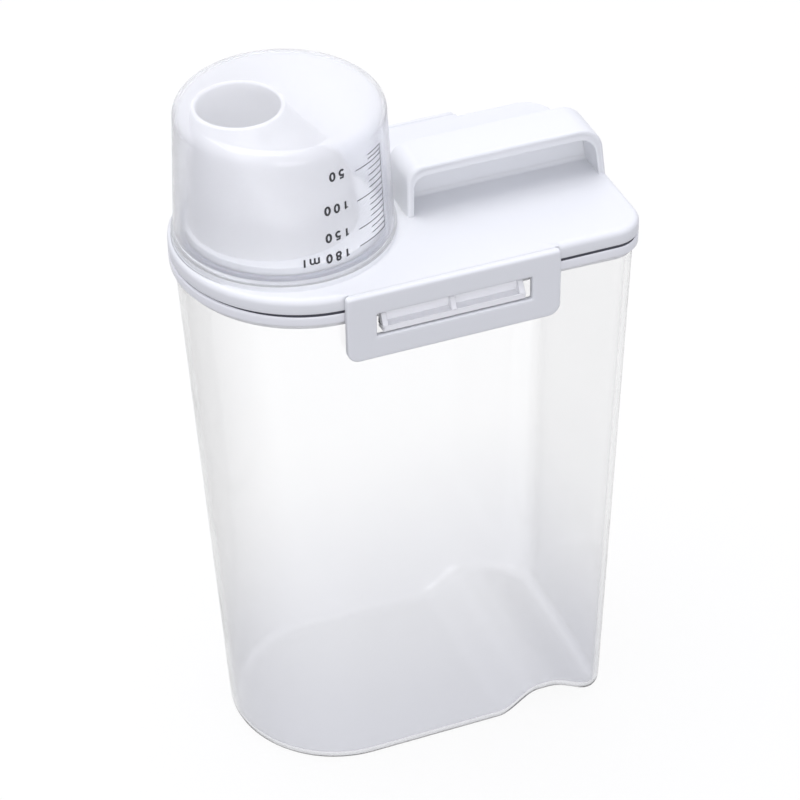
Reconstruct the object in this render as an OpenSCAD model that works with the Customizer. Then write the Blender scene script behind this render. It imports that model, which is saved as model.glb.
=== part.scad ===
// Airtight storage jar: a tall D-shaped container, a lid with a pouring spout and a side-open grip,
// two slotted side latches and a measuring cup turned over on the spout.
// Millimetres. X runs from the round spout end to the square grip end, Y across, Z up from the table.

/* [Outline] */
// Length of the lid and of the container's rim
jar_l = 160; // [150:1:185]
// Width of the lid and of the container's rim
jar_w = 94; // [90:1:106]
// Radius of the two upright corners at the square end, at the rim
corner_r = 12; // [9:0.5:16]

/* [Container] */
// Height of the container to the top of its rim flange
body_h = 215.2; // [150:0.1:260]
// Thickness of the container's side wall
wall = 1.8; // [1.2:0.1:2.4]
// Thickness of the container's floor
floor_t = 2; // [1.4:0.1:3]
// Radius of the rounded edge between wall and floor
base_r = 6; // [4:0.5:8]
// Upright corner radius of the square end, at the base
base_corner_r = 12.5; // [10:0.5:18]
// How far the round end draws in from rim to base
spout_end_taper = 11.1; // [4:0.1:16]
// How far the square end draws in from rim to base
square_end_taper = 5.1; // [2:0.1:8]
// How far each long side draws in from rim to base
side_taper = 3.3; // [1:0.1:6]
// Height of the rim flange
flange_t = 4; // [2.5:0.1:6]
// Overhang of the rim flange past the wall
flange_w = 1.9; // [1.4:0.1:2.2]
// Height of the lip that stands on the flange and meets the gasket
lip_h = 2.8; // [2:0.1:4]

/* [Finger recess under the square end] */
// Height of the recess above the table
recess_h = 8.3; // [4:0.1:12]
// Distance from the square end of the rim to the start of the recess
recess_start = 53; // [45:0.5:60]
// Length of the curve that rises into the recess
recess_rise = 16.5; // [10:0.5:20]
// Length of the level crown of the recess
recess_crown = 4.5; // [2:0.5:8]
// Length of the curve that falls to the toe
recess_fall = 23; // [14:0.5:24]

/* [Lid] */
// Thickness of the lid's top plate
plate_t = 2; // [1.6:0.1:3]
// Thickness of the skirt round the lid
skirt_t = 2; // [1.6:0.1:2.2]
// Radius of the lid's rounded top edge
lid_edge_r = 2.4; // [1:0.1:3]
// Shadow gap between the container's flange and the lid's skirt
lid_gap = 0.8; // [0.4:0.1:1.4]
// Clearance between the container's lip and the lid's skirt
lip_clear = 0.4; // [0.3:0.05:0.6]
// Clearance between the container's wall and the plug ring under the lid
plug_clear = 0.6; // [0.5:0.05:0.9]
// Thickness of the plug ring under the lid
plug_t = 1.6; // [1:0.1:2.4]
// Depth of the plug ring below the lid's plate
plug_h = 6.5; // [5:0.1:8]

/* [Gasket and seal] */
// Height of the lid gasket between lip and plate
gasket_t = 2; // [1.2:0.1:3]
// Clearance at each side of the lid gasket in its channel
gasket_clear = 0.25; // [0.2:0.05:0.4]
// Height of the seal ring inside the cup's mouth
seal_t = 2.5; // [1.5:0.1:4]
// Radial width of the seal ring
seal_w = 2; // [1.5:0.1:3]
// Clearance of the seal ring from the cup and from the spout's collar
seal_clear = 0.35; // [0.3:0.05:0.5]

/* [Latches] */
// Length of each latch
latch_l = 79.6; // [60:0.1:90]
// Reach of the latch below the lid's top
latch_h = 27; // [25:0.1:34]
// Thickness of each latch
latch_t = 2.5; // [1.8:0.1:3]
// Overlap of the latch past the start of the straight side
latch_lead = 1.8; // [0:0.1:4]
// Running gap between latch and lid
latch_clear = 0.4; // [0.3:0.05:0.6]
// Radius of the latch's lower corners
latch_r = 4.5; // [2:0.5:7]
// Radius of the latch's rounded outer top edge
latch_edge_r = 1.8; // [0.8:0.1:2.4]
// Length of the slot in the latch
slot_l = 57.8; // [46:0.1:58]
// Height of the slot in the latch
slot_h = 9.2; // [8.8:0.1:9.6]
// Clearance under the catch to the lower edge of the slot
slot_clear = 0.7; // [0.5:0.05:1]

/* [Catches] */
// Length of each catch on the container
catch_l = 53; // [40:0.5:54]
// Height of each catch from its underside to the flange
catch_h = 6.4; // [5:0.1:6.6]
// How far the catch stands into the latch's thickness
catch_grip = 1.9; // [1:0.1:2.2]
// Thickness of the catch's shelf
shelf_t = 2.2; // [1.4:0.1:3]
// Thickness of the gussets that brace the shelf
gusset_t = 2; // [1.2:0.1:3]

/* [Spout] */
// Outer radius of the spout's drum at its foot
spout_r = 31; // [26:0.1:32]
// How far the drum narrows from its foot to its shoulder
drum_taper = 2.6; // [0.5:0.1:5]
// Wall thickness of the spout
spout_wall = 1.8; // [1.2:0.1:2.6]
// Height of the drum's shoulder above the lid
drum_h = 21.5; // [16:0.5:32]
// Outer radius of the round pouring mouth
mouth_r = 16.3; // [12:0.1:20]
// Height of the straight rim at the pouring mouth
mouth_rim = 2.5; // [1.5:0.1:5]
// Distance of the pouring mouth from the cup's axis
mouth_shift = 14; // [8:0.1:16]
// Turn of the pouring side about the cup's axis, from the lid's round end, in degrees
spout_turn = 17; // [-30:1:30]
// Least step of the collar past the drum, on the pouring side
collar_step = 0.4; // [0.2:0.1:1]
// Height of the collar above the cup seat
collar_h = 5; // [3:0.1:8]
// Clearance between the pouring mouth and the top of the cup
mouth_clear = 0.8; // [0.5:0.1:2]

/* [Measuring cup] */
// Outer radius of the bead round the cup's mouth, which faces down
cup_r = 39.6; // [38:0.05:41]
// Step of the bead past the cup's wall
bead_w = 0.75; // [0.4:0.05:1.5]
// Height of the bead
bead_h = 2.2; // [1.6:0.1:4]
// How far the cup narrows from its mouth to its top
cup_taper = 2.05; // [1:0.05:3]
// Height of the cup
cup_h = 51; // [46:0.5:70]
// Wall thickness of the cup
cup_wall = 1.5; // [1:0.1:2]
// Radius of the cup's rounded top edge
cup_edge_r = 5.5; // [3:0.5:8]
// Distance of the cup's mouth from the lid's round end
cup_setback = 1.15; // [0.5:0.05:4]
// Height of the round seat that carries the cup
seat_h = 2; // [1:0.1:4]
// How far the cup's rim stands out past the seat
seat_step = 0.3; // [0.1:0.05:0.6]

/* [Grip] */
// Height of the grip above the lid
grip_h = 20; // [15:0.5:26]
// Width of the grip across Y
grip_w = 18.2; // [15:0.1:28]
// Place of the grip's middle, across Y
grip_y = -1.8; // [-6:0.1:6]
// Thickness of the grip's walls
grip_t = 2.6; // [1.8:0.1:3.4]
// Depth of the finger recess, from the near side to the grip's web
grip_depth = 12.4; // [8:0.1:12.8]
// Height of the lip along the near edge of the grip's top
grip_lip = 4.2; // [3:0.1:6]
// Gap between the cup and the grip
grip_gap = 2.7; // [2:0.1:8]
// Distance of the grip's foot from the lid's square end
grip_setback = 0.5; // [0.3:0.1:6]
// How far the end leg leans out from its shoulder to its foot
grip_lean = 2.5; // [0:0.1:5]
// Shoulder radius at the cup's end
grip_r_in = 6; // [4:0.5:9]
// Shoulder radius at the square end
grip_r_out = 10; // [5:0.5:14]

/* [Hidden] */

// Overrun of a cut past the face that it opens
over = 1;
// Overlap where two forms of one moulding are welded
weld = 0.5;
// Steps along the rounded end, the long side, each corner and each small edge of a loft
round_steps = 14;
side_steps = 14;
corner_steps = 5;
edge_steps = 8;
$fn = 96;
// Facets of the pieces inside a hull
hull_fn = 64;

clear_white = [0.93, 0.95, 0.98, 0.5];
cup_clear = [0.95, 0.96, 0.98, 0.4];
lid_white = [0.95, 0.96, 0.98];
seal_grey = [0.62, 0.65, 0.72];
gasket_grey = [0.8, 0.82, 0.86];

// Heights of the stacked faces, from the flange up to the cup
flange_z = body_h - flange_t;
lip_z = body_h + lip_h;
plate_z = lip_z + gasket_t;
lid_z = plate_z + plate_t;
skirt_z = body_h + lid_gap;
seat_z = lid_z + seat_h;
cup_z = seat_z + cup_h;
mouth_z = cup_z - cup_wall - mouth_clear;

// Insets from the rim's outline to the faces of the closure
inner_inset = flange_w + wall;
lip_inset = skirt_t + lip_clear;
plug_inset = inner_inset + plug_clear;

// Centre of the round end, at the rim
round_x = -jar_l / 2 + jar_w / 2;
cup_x = -jar_l / 2 + cup_setback + cup_r;
seat_r = cup_r - seat_step;

// Cup's wall and the ring of space between it and the spout's collar
cup_wall_r = cup_r - bead_w;
cup_in_r = cup_wall_r - cup_wall;
collar_r = cup_in_r - 2 * seal_clear - seal_w;

// Spout: foot, shoulder and mouth share one straight line on the pouring side
shoulder_z = lid_z + drum_h;
shoulder_r = spout_r - drum_taper;
foot_shift = collar_r - collar_step - spout_r;
shoulder_share = (shoulder_z - plate_z) / (mouth_z - plate_z);
shoulder_shift = mix(foot_shift + spout_r, mouth_shift + mouth_r, shoulder_share) - shoulder_r;

// Latch and catch, worked out on the +Y side
latch_x = round_x - latch_lead + latch_l / 2;
latch_y = jar_w / 2 + latch_clear;
catch_z = flange_z - catch_h;
slot_z = catch_z - slot_clear;
catch_y = latch_y + catch_grip;

grip_x0 = cup_x + cup_r + grip_gap;
grip_x1 = jar_l / 2 - grip_setback;

function mix(a, b, t) = a + (b - a) * t;
function ease(t) = let(s = min(max(t, 0), 1)) s * s * (3 - 2 * s);

// Height of the container's underside at x: an eased rise, a level crown and an eased fall
recess_x = jar_l / 2 - recess_start;
crown_x = recess_x + recess_rise + recess_crown;
function underside(x) =
    recess_h * (ease((x - recess_x) / recess_rise) - ease((x - crown_x) / recess_fall));

// Plan of the container wall: centre and radius of the round end, square end and its corner radius
rim_half = jar_w / 2 - flange_w;
rim_plan = [round_x, rim_half, jar_l / 2 - flange_w, corner_r - flange_w];
base_half = rim_half - side_taper;
base_plan = [
    -jar_l / 2 + flange_w + spout_end_taper + base_half,
    base_half,
    jar_l / 2 - flange_w - square_end_taper,
    base_corner_r
];
function inset_plan(p, d) = [p[0], p[1] - d, p[2] - d, p[3] - d];

// The +Y half of a plan, from the tip of the round end to the middle of the square end
function half_outline(p) = concat(
    [for (i = [0 : round_steps])
        let(a = 180 - 90 * i / round_steps)
        [p[0] + p[1] * cos(a), p[1] * sin(a)]],
    [for (i = [1 : side_steps - 1])
        [mix(p[0], p[2] - p[3], i / side_steps), p[1]]],
    [for (i = [0 : corner_steps])
        let(a = 90 - 90 * i / corner_steps)
        [p[2] - p[3] + p[3] * cos(a), p[1] - p[3] + p[3] * sin(a)]]
);

// A closed plan: the half and its mirror image, with the tip counted once
function full_outline(p) =
    let(half = half_outline(p), m = len(half))
    concat(half, [for (k = [m - 1 : -1 : 1]) [half[k][0], -half[k][1]]]);

// Loft of the container's form: a floor that follows the underside, a rounded edge and a tapered wall
module body_loft(inset, lift, edge, top) {
    half_n = len(half_outline(base_plan));
    n = 2 * half_n - 1;
    edge_rings = [
        for (i = [0 : edge_steps])
            let(a = 90 * i / edge_steps, d = inset + edge * (1 - sin(a)), up = lift + edge * (1 - cos(a)))
            [for (q = full_outline(inset_plan(base_plan, d))) [q[0], q[1], underside(q[0]) + up]]
    ];
    rim_ring = [for (q = full_outline(inset_plan(rim_plan, inset))) [q[0], q[1], top]];
    rings = concat(edge_rings, [rim_ring]);
    last = len(rings) - 1;
    wall_faces = [
        for (r = [0 : last - 1], j = [0 : n - 1])
            let(a = r * n + j, b = r * n + (j + 1) % n)
            each [[a, b, b + n], [a, b + n, a + n]]
    ];
    floor_faces = concat(
        [[0, n - 1, 1]],
        [for (k = [1 : half_n - 2]) each [[k, n - k, n - k - 1], [k, n - k - 1, k + 1]]]
    );
    polyhedron(
        points = [for (ring = rings) each ring],
        faces = concat(wall_faces, floor_faces, [[for (j = [0 : n - 1]) last * n + j]])
    );
}

// The rim's D outline, moved in by an inset: a round end, a body and two corners
module rim_outline(inset) {
    half = jar_w / 2 - inset;
    end = jar_l / 2 - inset;
    r = corner_r - inset;
    translate([round_x, 0])
        circle(r = half);
    translate([round_x, -half])
        square([end - r - round_x, 2 * half]);
    translate([round_x, r - half])
        square([end - round_x, 2 * (half - r)]);
    for (side = [-1, 1])
        translate([end - r, side * (half - r)])
            circle(r = r);
}

module rim_slab(inset, z0, z1) {
    translate([0, 0, z0])
        linear_extrude(z1 - z0)
            rim_outline(inset);
}

module rim_ring(outer, inner, z0, z1) {
    translate([0, 0, z0])
        linear_extrude(z1 - z0)
            difference() {
                rim_outline(outer);
                rim_outline(inner);
            }
}

// A profile drawn in X and Z, carried along Y from y0 to y1
module along_y(y0, y1) {
    translate([0, y1, 0])
        rotate([90, 0, 0])
            linear_extrude(y1 - y0)
                children();
}

// A profile drawn in Y and Z, carried along X from x0 to x1
module along_x(x0, x1) {
    translate([x0, 0, 0])
        rotate([90, 0, 90])
            linear_extrude(x1 - x0)
                children();
}

// Catch on the +Y side: a shelf under the flange with three gussets that slope up to it
module catch_ledge() {
    root_y = rim_half - wall / 2;
    x0 = latch_x - catch_l / 2;
    x1 = latch_x + catch_l / 2;
    along_x(x0, x1)
        translate([root_y, catch_z])
            square([catch_y - root_y, shelf_t]);
    for (x = [x0, latch_x - gusset_t / 2, x1 - gusset_t])
        along_x(x, x + gusset_t)
            polygon([
                [root_y, catch_z],
                [catch_y, catch_z],
                [catch_y, catch_z + shelf_t],
                [jar_w / 2, flange_z + weld],
                [root_y, flange_z + weld]
            ]);
}

module container() {
    color(clear_white)
        difference() {
            union() {
                body_loft(0, 0, base_r, flange_z + weld);
                rim_slab(0, flange_z, body_h);
                rim_slab(lip_inset, body_h - weld, lip_z);
                for (side = [0, 1])
                    mirror([0, side, 0])
                        catch_ledge();
            }
            body_loft(wall, floor_t, base_r - wall, lip_z + over);
        }
}

// A disc with a rounded top edge
module edge_puck(r, z0, z1) {
    translate([0, 0, z0])
        cylinder(r = r, h = z1 - z0 - lid_edge_r, $fn = hull_fn);
    translate([0, 0, z1 - lid_edge_r])
        rotate_extrude($fn = hull_fn)
            intersection() {
                union() {
                    square([r - lid_edge_r, lid_edge_r]);
                    translate([r - lid_edge_r, 0])
                        circle(r = lid_edge_r, $fn = hull_fn / 2);
                }
                square([r, lid_edge_r]);
            }
}

// Outer form of the lid: plate and skirt with one rounded top edge
module lid_form() {
    hull() {
        translate([round_x, 0, 0])
            edge_puck(jar_w / 2, skirt_z, lid_z);
        for (side = [-1, 1])
            translate([jar_l / 2 - corner_r, side * (jar_w / 2 - corner_r), 0])
                edge_puck(corner_r, skirt_z, lid_z);
    }
}

// Square land on the lid's long edge, where a latch hinges flush with the lid's top
module hinge_land() {
    translate([latch_x - latch_l / 2, jar_w / 2 - corner_r, skirt_z])
        cube([latch_l, corner_r, lid_z - skirt_z]);
}

// Spout: a tapered drum, then a slanted funnel drawn in to a round mouth on the pouring side
module spout_form(inset, z0, z1) {
    translate([cup_x, 0, 0])
        rotate([0, 0, -spout_turn])
            hull() {
                translate([-foot_shift, 0, z0])
                    cylinder(r = spout_r - inset, h = weld, $fn = hull_fn);
                translate([-shoulder_shift, 0, shoulder_z - weld])
                    cylinder(r = shoulder_r - inset, h = weld, $fn = hull_fn);
                translate([-mouth_shift, 0, mouth_z - mouth_rim])
                    cylinder(r = mouth_r - inset, h = z1 - mouth_z + mouth_rim, $fn = hull_fn);
            }
}

// Arch of the grip in X and Z, with its legs moved in by an inset and its top lowered by a drop
function grip_arch(inset, drop, z0) =
    let(
        left = grip_x0 + inset,
        right = grip_x1 - grip_lean - inset,
        top = lid_z + grip_h - drop,
        r_in = grip_r_in - inset / 2,
        r_out = grip_r_out - inset
    )
    concat(
        [[left, z0]],
        [for (i = [0 : edge_steps])
            let(a = 180 - 90 * i / edge_steps)
            [left + r_in + r_in * cos(a), top - r_in + r_in * sin(a)]],
        [for (i = [0 : edge_steps])
            let(a = 90 - 90 * i / edge_steps)
            [right - r_out + r_out * cos(a), top - r_out + r_out * sin(a)]],
        [[grip_x1 - inset, z0]]
    );

// Grip: an arch on an upright web, with a lipped finger recess on the -Y side and a shallow one behind
module grip() {
    near = grip_y - grip_w / 2;
    far = grip_y + grip_w / 2;
    web_y = near + grip_depth;
    difference() {
        along_y(near, far)
            polygon(grip_arch(0, 0, lid_z - lid_edge_r));
        along_y(near - over, near + grip_t + over)
            polygon(grip_arch(grip_t, grip_lip, lid_z));
        along_y(near + grip_t, web_y)
            polygon(grip_arch(grip_t, grip_t, lid_z));
        along_y(web_y + grip_t, far + over)
            polygon(grip_arch(grip_t, grip_t, lid_z));
    }
}

module lid() {
    color(lid_white) {
        difference() {
            union() {
                lid_form();
                for (side = [0, 1])
                    mirror([0, side, 0])
                        hinge_land();
                translate([cup_x, 0, plate_z])
                    cylinder(r = seat_r, h = seat_z - plate_z);
                translate([cup_x, 0, plate_z])
                    cylinder(r = collar_r, h = seat_z + collar_h - plate_z);
                spout_form(0, plate_z, mouth_z);
                grip();
            }
            rim_slab(skirt_t, skirt_z - over, plate_z);
            spout_form(spout_wall, plate_z - over, mouth_z + over);
        }
        rim_ring(plug_inset, plug_inset + plug_t, plate_z - plug_h, plate_z + weld);
    }
}

module lid_gasket() {
    color(gasket_grey)
        rim_ring(skirt_t + gasket_clear, plug_inset - gasket_clear, lip_z, plate_z);
}

module spout_seal() {
    color(seal_grey)
        translate([cup_x, 0, seat_z])
            difference() {
                cylinder(r = collar_r + seal_clear + seal_w, h = seal_t);
                translate([0, 0, -over])
                    cylinder(r = collar_r + seal_clear, h = seal_t + 2 * over);
            }
}

// Latch on the +Y side: a flap with rounded lower corners, a slot and a rounded outer top edge
module latch() {
    x0 = latch_x - latch_l / 2;
    z0 = lid_z - latch_h;
    difference() {
        along_y(latch_y, latch_y + latch_t)
            difference() {
                union() {
                    translate([x0, z0 + latch_r])
                        square([latch_l, latch_h - latch_r]);
                    translate([x0 + latch_r, z0])
                        square([latch_l - 2 * latch_r, latch_r]);
                    for (x = [x0 + latch_r, x0 + latch_l - latch_r])
                        translate([x, z0 + latch_r])
                            circle(r = latch_r);
                }
                translate([latch_x - slot_l / 2, slot_z])
                    square([slot_l, slot_h]);
            }
        along_x(x0 - over, x0 + latch_l + over)
            translate([latch_y + latch_t - latch_edge_r, lid_z - latch_edge_r])
                difference() {
                    square(latch_edge_r + over);
                    circle(r = latch_edge_r);
                }
    }
}

module front_latch() {
    color(lid_white)
        mirror([0, 1, 0])
            latch();
}

module rear_latch() {
    color(lid_white)
        latch();
}

// Half section of a face of the cup, from its mouth with a bead up to its rounded top edge
function cup_section(r, bead, top, z0, edge) =
    let(z1 = seat_z + top, r1 = r - cup_taper)
    concat(
        [[0, z0], [r + bead, z0], [r + bead, z0 + bead_h - bead], [r, z0 + bead_h]],
        [for (i = [0 : edge_steps])
            let(a = 90 * i / edge_steps)
            [r1 - edge + edge * cos(a), z1 - edge + edge * sin(a)]],
        [[0, z1]]
    );

module measuring_cup() {
    color(cup_clear)
        translate([cup_x, 0, 0])
            difference() {
                rotate_extrude()
                    polygon(cup_section(cup_wall_r, bead_w, cup_h, seat_z, cup_edge_r));
                rotate_extrude()
                    polygon(cup_section(
                        cup_in_r, 0, cup_h - cup_wall, seat_z - over, cup_edge_r - cup_wall));
            }
}

container();
lid();
lid_gasket();
spout_seal();
front_latch();
rear_latch();
measuring_cup();
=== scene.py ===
"""Airtight storage jar: a clear D-shaped container, a white lid with spout and grip, and a measuring cup.

Every surface is worked out in millimetres in the jar's own frame and put into its mesh in metres.
X runs from the round spout end to the square grip end, -Y is the near side and Z is up.
"""

import math

import bmesh
import bpy
import numpy as np
from mathutils import Matrix, Vector


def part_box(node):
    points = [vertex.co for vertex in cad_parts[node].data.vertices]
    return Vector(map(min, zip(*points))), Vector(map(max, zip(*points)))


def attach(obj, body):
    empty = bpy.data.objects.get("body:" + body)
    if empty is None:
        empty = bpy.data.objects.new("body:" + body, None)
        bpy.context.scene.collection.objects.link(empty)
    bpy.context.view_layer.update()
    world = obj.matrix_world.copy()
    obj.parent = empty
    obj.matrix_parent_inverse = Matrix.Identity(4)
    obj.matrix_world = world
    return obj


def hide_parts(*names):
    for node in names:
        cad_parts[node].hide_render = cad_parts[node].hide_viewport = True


MM = 0.001
MERGE_DISTANCE = 1e-6
SLIVER_LENGTH = 1e-7
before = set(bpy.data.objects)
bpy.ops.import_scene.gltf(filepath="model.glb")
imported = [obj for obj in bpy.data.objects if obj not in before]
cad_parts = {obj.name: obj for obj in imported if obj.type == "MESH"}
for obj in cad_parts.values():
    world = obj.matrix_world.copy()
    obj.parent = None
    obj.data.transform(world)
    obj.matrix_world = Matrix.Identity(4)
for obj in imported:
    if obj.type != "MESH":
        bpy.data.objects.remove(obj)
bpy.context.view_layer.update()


def node_box(name):
    """Lowest and highest corner of a CAD node, in millimetres."""
    low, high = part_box(name)
    return np.array(low) / MM, np.array(high) / MM


_, container_high = node_box("container")
_, lid_high = node_box("lid")
cup_low, cup_high = node_box("measuring_cup")
seal_low, seal_high = node_box("spout_seal")
latch_low, latch_high = node_box("front_latch")

# Rim outline, shared by the container's flange and the lid
RIM_HALF_L = lid_high[0]
RIM_HALF_W = lid_high[1]
RIM_CORNER_R = 12.0
ROUND_X = RIM_HALF_W - RIM_HALF_L

# Container
FLANGE_T = 4.0
FLANGE_W = 1.9
LIP_H = 2.8
LIP_INSET = 2.4
WALL = 1.8
FLOOR_T = 2.0
BASE_R = 6.0
BASE_CORNER_R = 12.5
RIM_ROUNDS = [0.5, 0.6, 0.9, 0.3, 0.4, 0.4]
FLANGE_ROOT = 0.8
LIP_ROOT = 1.0
MILKY_START = 0.1
SPOUT_END_TAPER = 11.1
SQUARE_END_TAPER = 5.1
SIDE_TAPER = 3.3
LIP_Z = container_high[2]
RIM_Z = LIP_Z - LIP_H
FLANGE_Z = RIM_Z - FLANGE_T

# Finger recess under the square end
RECESS_H = 8.3
RECESS_L = 53.0
RECESS_X = RIM_HALF_L - RECESS_L
RECESS_RISE = 16.5
RECESS_CROWN = 4.5
RECESS_FALL = 23.0

# Catches on the long sides
CATCH_L = 53.0
CATCH_H = 6.4
SHELF_T = 2.2
GUSSET_T = 2.0
RIB_T = 0.6
CATCH_Y = container_high[1]
CATCH_BEVEL = 0.35
CATCH_SINK = 0.1

# Lid
LID_GAP = 0.8
LID_Z = latch_high[2]
PLATE_T = 2.0
PLATE_Z = LID_Z - PLATE_T
SKIRT_Z = RIM_Z + LID_GAP
SKIRT_T = 2.0
LID_EDGE_R = 2.4
LAND_EDGE_R = 0.2
LAND_STEP = 0.3
SIDE_TOLERANCE = 0.3
TOP_START = 0.15
SEAT_MARGIN = 0.4
SEAT_COVE = 0.25
SEAT_FOOT = 0.2
SEAT_ROUNDS = [0.5, 0.6, 0.35]
UNDER_ROUNDS = [0.6, 0.6, 0.3, 0.3, 0.3, 0.5]
PLUG_INSET = 4.3
PLUG_T = 1.6
PLUG_H = 6.5
# Thin dark ring in the gap under the skirt: painted shade standing in for the gap's shadow
GAP_SHADE_SIDE = 0.3
GAP_SHADE_END = 1.3
GAP_SHADE_BACK = 2.2
GAP_SHADE_SINK = 0.3
GAP_SHADE_FADE = 0.3

# Cup, its seat and the spout under it
CUP_X = (cup_low[0] + cup_high[0]) / 2
CUP_R = (cup_high[0] - cup_low[0]) / 2
BEAD_W = 0.75
BEAD_H = 2.2
CUP_WALL_R = CUP_R - BEAD_W
CUP_TAPER = 2.05
CUP_WALL = 1.5
CUP_EDGE_R = 5.5
CUP_FOOT_ROUNDS = [0.5, 0.4, 0.4, 0.4]
PROFILE_STEP = 3.0
SEAT_Z = cup_low[2]
CUP_Z = cup_high[2]
SEAT_OVERHANG = 0.3
SEAT_R = CUP_R - SEAT_OVERHANG
SEAL_W = 2.0
SEAL_CLEAR = 0.35
SEAL_ROUND = 0.7
COLLAR_R = CUP_WALL_R - CUP_WALL - 2 * SEAL_CLEAR - SEAL_W
COLLAR_H = 5.0
COLLAR_Z = SEAT_Z + COLLAR_H
COLLAR_LAND = 1.0
COLLAR_STEP = 0.4
SPOUT_R = 31.0
SPOUT_WALL = 1.8
SPOUT_TURN = 17.0
SHOULDER_INSET = 2.6
SHOULDER_R = SPOUT_R - SHOULDER_INSET
SHOULDER_H = 21.5
SHOULDER_Z = LID_Z + SHOULDER_H
SHOULDER_BLEND = 3.0
MOUTH_R = 16.3
MOUTH_RIM = 2.5
MOUTH_SHIFT = 14.0
MOUTH_Z = lid_high[2]
LIP_FALL = 1.1
LIP_ROUND = 0.88
RING_GAP = 0.1
FOOT_RISE = 0.5
FOOT_SHIFT = COLLAR_R - COLLAR_STEP - SPOUT_R

# Grip
GRIP_H = 20.0
GRIP_Z = LID_Z + GRIP_H
GRIP_W = 18.2
GRIP_Y = -1.8
GRIP_T = 2.6
GRIP_DEPTH = 12.4
GRIP_LIP = 4.2
GRIP_CUP_GAP = 2.7
GRIP_END_INSET = 0.5
GRIP_X0 = CUP_X + CUP_R + GRIP_CUP_GAP
GRIP_X1 = RIM_HALF_L - GRIP_END_INSET
GRIP_LEAN = 2.5
GRIP_R_IN = 6.0
GRIP_R_OUT = 10.0
GRIP_EDGE_R = 1.1
GRIP_LIP_R = 0.6
GRIP_NEAR = GRIP_Y - GRIP_W / 2
GRIP_FAR = GRIP_Y + GRIP_W / 2
WEB_Y = GRIP_NEAR + GRIP_DEPTH
COVE_R = 1.5
COVE_SINK = 0.5

# Latches
LATCH_L = latch_high[0] - latch_low[0]
LATCH_X = (latch_high[0] + latch_low[0]) / 2
LATCH_T = latch_high[1] - latch_low[1]
LATCH_Y = -latch_high[1]
LATCH_R = 4.5
SLOT_L = 57.8
SLOT_H = 9.2
SLOT_CLEAR = 0.7
SLOT_Z = FLANGE_Z - CATCH_H - SLOT_CLEAR
SLOT_R = 0.5
LATCH_TOP_R = 1.5
LATCH_TOP_EDGE_R = 1.2
LATCH_EDGE_R = 0.7
LATCH_BACK_EDGE = 0.3
SLOT_BACK_EDGE = 0.4
TOP_EDGE_FALL = 7.0
TOP_EDGE_BLEND = 6.0
WEB_R = 0.24


# Arrays and meshes

def arc(start, stop, count):
    """count + 1 angles in radians from start to stop degrees."""
    return np.radians(np.linspace(start, stop, count + 1))


def mix(a, b, t):
    """The value a share t of the way from a to b."""
    return a + (b - a) * t


def ease(t):
    """Smooth step: 3t^2 - 2t^3, held at 0 below 0 and at 1 above 1."""
    s = np.clip(t, 0, 1)
    return s * s * (3 - 2 * s)


def add_mesh(name, points, faces, material, body, replaced, smooth=40):
    """A piece from points in millimetres, riding on a body.

    Doubles are merged, normals turned outward and edges below an angle shaded smooth."""
    mesh = bpy.data.meshes.new(name)
    mesh.from_pydata((np.asarray(points) * MM).tolist(), [], faces)
    work = bmesh.new()
    work.from_mesh(mesh)
    bmesh.ops.remove_doubles(work, verts=work.verts, dist=MERGE_DISTANCE)
    bmesh.ops.dissolve_degenerate(work, edges=work.edges, dist=SLIVER_LENGTH)
    bmesh.ops.recalc_face_normals(work, faces=work.faces)
    work.to_mesh(mesh)
    work.free()
    mesh.materials.append(material)
    mesh.shade_smooth()
    piece = bpy.data.objects.new(name, mesh)
    bpy.context.scene.collection.objects.link(piece)
    if smooth < 180:
        mesh.set_sharp_from_angle(angle=math.radians(smooth))
    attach(piece, body)
    if replaced:
        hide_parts(replaced)
    return piece


def grid_faces(rows, columns, close_rows=False, close_columns=True, first=0):
    """Quads of a grid of points, wrapped round either way where it is closed."""
    i = np.arange(rows if close_rows else rows - 1)
    j = np.arange(columns if close_columns else columns - 1)
    a, b = np.meshgrid(i, j, indexing="ij")
    a2 = (a + 1) % rows
    b2 = (b + 1) % columns
    quads = np.stack([a * columns + b, a * columns + b2, a2 * columns + b2, a2 * columns + b], -1)
    return (quads.reshape(-1, 4) + first).tolist()


def add_rings(name, rings, material, body, replaced, close=False, smooth=40):
    """A piece from a stack of closed rings, (ring, point, xyz), lofted one to the next."""
    rings = np.asarray(rings)
    faces = grid_faces(rings.shape[0], rings.shape[1], close_rows=close)
    return add_mesh(name, rings.reshape(-1, 3), faces, material, body, replaced, smooth)


def level(xy, z):
    """Points of a plan, all at one height."""
    return np.c_[xy, np.full(len(xy), z)]


def second_material_above(piece, z):
    """The faces of a piece whose middle lies above a height take its second material."""
    centres = np.zeros(len(piece.data.polygons) * 3)
    piece.data.polygons.foreach_get("center", centres)
    piece.data.polygons.foreach_set("material_index", (centres[2::3] > z * MM).astype(int))


def rounded(points, radii, steps=5):
    """An open path with each inner corner replaced by an arc tangent to both its sides."""
    points = np.asarray(points, float)
    path = [points[0]]
    for before, corner, after, radius in zip(points[:-2], points[1:-1], points[2:], radii):
        u = (before - corner) / np.linalg.norm(before - corner)
        w = (after - corner) / np.linalg.norm(after - corner)
        half = math.acos(np.clip(u @ w, -1, 1)) / 2
        if radius == 0:
            path.append(corner)
            continue
        bisector = (u + w) / np.linalg.norm(u + w)
        centre = corner + bisector * radius / math.sin(half)
        start = corner + u * radius / math.tan(half) - centre
        stop = corner + w * radius / math.tan(half) - centre
        turn = math.pi - 2 * half
        for k in range(steps + 1):
            t = k / steps
            along = math.sin((1 - t) * turn) * start + math.sin(t * turn) * stop
            path.append(centre + along / math.sin(turn))
    path.append(points[-1])
    return np.array(path)


# Plans of the container and the lid

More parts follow.
